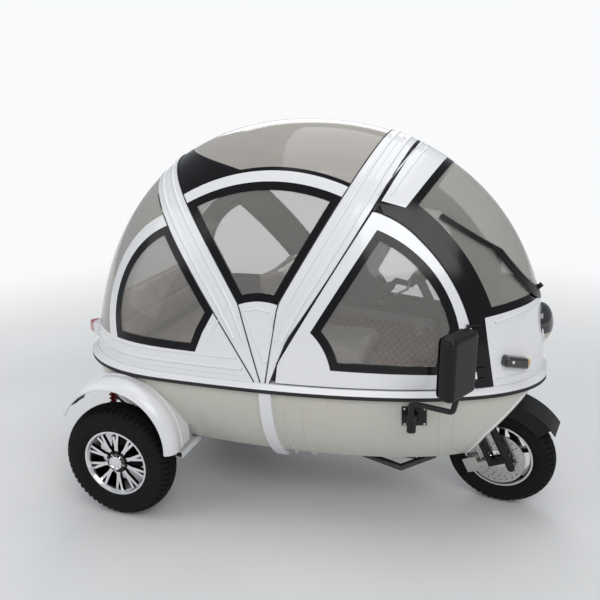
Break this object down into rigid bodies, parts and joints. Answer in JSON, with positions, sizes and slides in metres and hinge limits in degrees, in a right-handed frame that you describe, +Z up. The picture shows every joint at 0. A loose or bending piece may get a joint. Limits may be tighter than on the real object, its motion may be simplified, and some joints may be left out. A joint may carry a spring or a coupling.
{
  "type": "enclosed electric tricycle",
  "caption": "Egg-shaped enclosed electric tricycle with hinged side doors, panoramic windows, handlebar steering and open rear wheels.",
  "frame": {"origin": "on the floor under the middle of the overall bounding box", "axes": "+X forward, +Y to the vehicle's left, +Z up"},
  "size_m": [1.9208, 1.3312, 1.502],
  "materials": {
    "black_steel": "satin",
    "black_rubber": "matte",
    "white_gelcoat": "gloss",
    "seat_leather": "satin",
    "bright_steel": "brushed",
    "black_trim": "gloss",
    "tinted_glass": "gloss",
    "floor_sheet": "matte",
    "black_plastic": "matte",
    "polished_alloy": "polished",
    "tyre_rubber": "matte",
    "lamp_lens": "gloss",
    "hull_gelcoat": "gloss",
    "quilted_lining": "satin",
    "smoked_roof": "gloss",
    "red_shock": "gloss",
    "tail_lens": "gloss"
  },
  "bodies": {
    "body": {"battery_box": "black_steel", "belt_band": "black_rubber", "belt_lip": "white_gelcoat", "bench_base": "black_steel", "bench_seat": "seat_leather", "chassis_frame": "black_steel", "door_hinges": "black_steel", "door_seals": "black_rubber", "driver_seat": "seat_leather", "floor_pan": "floor_sheet", "front_hoop": "white_gelcoat", "front_pillars": "black_trim", "header_band": "white_gelcoat", "headlamp": "lamp_lens", "hull_front": "hull_gelcoat", "hull_linings": "quilted_lining", "hull_posts": "white_gelcoat", "hull_rear": "hull_gelcoat", "mirror_arms": "black_steel", "mirror_housings": "black_plastic", "nose_cowl": "white_gelcoat", "quarter_arcs": "white_gelcoat", "rear_axle": "black_steel", "rear_fenders": "white_gelcoat", "rear_flank": "white_gelcoat", "rear_hoop": "white_gelcoat", "rear_pane": "tinted_glass", "roof_pane": "smoked_roof", "roof_trim": "black_trim", "shock_absorbers": "red_shock", "side_arches": "white_gelcoat", "side_lamps": "lamp_lens", "side_panes": "tinted_glass", "spring_gear": "black_steel", "steering_head": "black_steel", "tail_lamps": "tail_lens", "v_panels": "white_gelcoat", "window_borders": "black_trim", "windscreen_pane": "tinted_glass", "wiper": "black_plastic"},
    "door_right": {"door_right_border": "black_trim", "door_right_frame": "white_gelcoat", "door_right_pane": "tinted_glass"},
    "door_left": {"door_left_border": "black_trim", "door_left_frame": "white_gelcoat", "door_left_pane": "tinted_glass"},
    "steering": {"brake_caliper": "bright_steel", "front_fork": "black_steel", "front_mudguard": "black_plastic", "handlebar": "black_steel", "handlebar_grips": "black_rubber"},
    "front_wheel": {"front_disc": "bright_steel", "front_rim": "polished_alloy", "front_tyre": "tyre_rubber"},
    "rear_wheel_right": {"rear_right_rim": "polished_alloy", "rear_right_tyre": "tyre_rubber"},
    "rear_wheel_left": {"rear_left_rim": "polished_alloy", "rear_left_tyre": "tyre_rubber"}
  },
  "joints": [
    {"name": "right_door_hinge", "type": "hinge", "parent": "body", "child": "door_right", "pos_m": [0.65511, -0.3365, 0.65], "axis": [-0.1846, 0.1032, 0.9774], "range_deg": [0, 45]},
    {"name": "left_door_hinge", "type": "hinge", "parent": "body", "child": "door_left", "pos_m": [0.65511, 0.3365, 0.65], "axis": [-0.1846, -0.1032, 0.9774], "range_deg": [-45, 0]},
    {"name": "steering", "type": "hinge", "parent": "body", "child": "steering", "pos_m": [0.74611, 0, 0.21351], "axis": [-0.454, 0, 0.891], "range_deg": [-25, 45]},
    {"name": "front_wheel_spin", "type": "hinge", "parent": "steering", "child": "front_wheel", "pos_m": [0.74611, 0, 0.21351], "axis": [0.1547, 0.9848, 0.0788], "continuous": true},
    {"name": "rear_right_wheel_spin", "type": "hinge", "parent": "body", "child": "rear_wheel_right", "pos_m": [-0.66239, -0.53, 0.2285], "axis": [0, 1, 0], "continuous": true},
    {"name": "rear_left_wheel_spin", "type": "hinge", "parent": "body", "child": "rear_wheel_left", "pos_m": [-0.66239, 0.53, 0.2285], "axis": [0, 1, 0], "continuous": true}
  ]
}
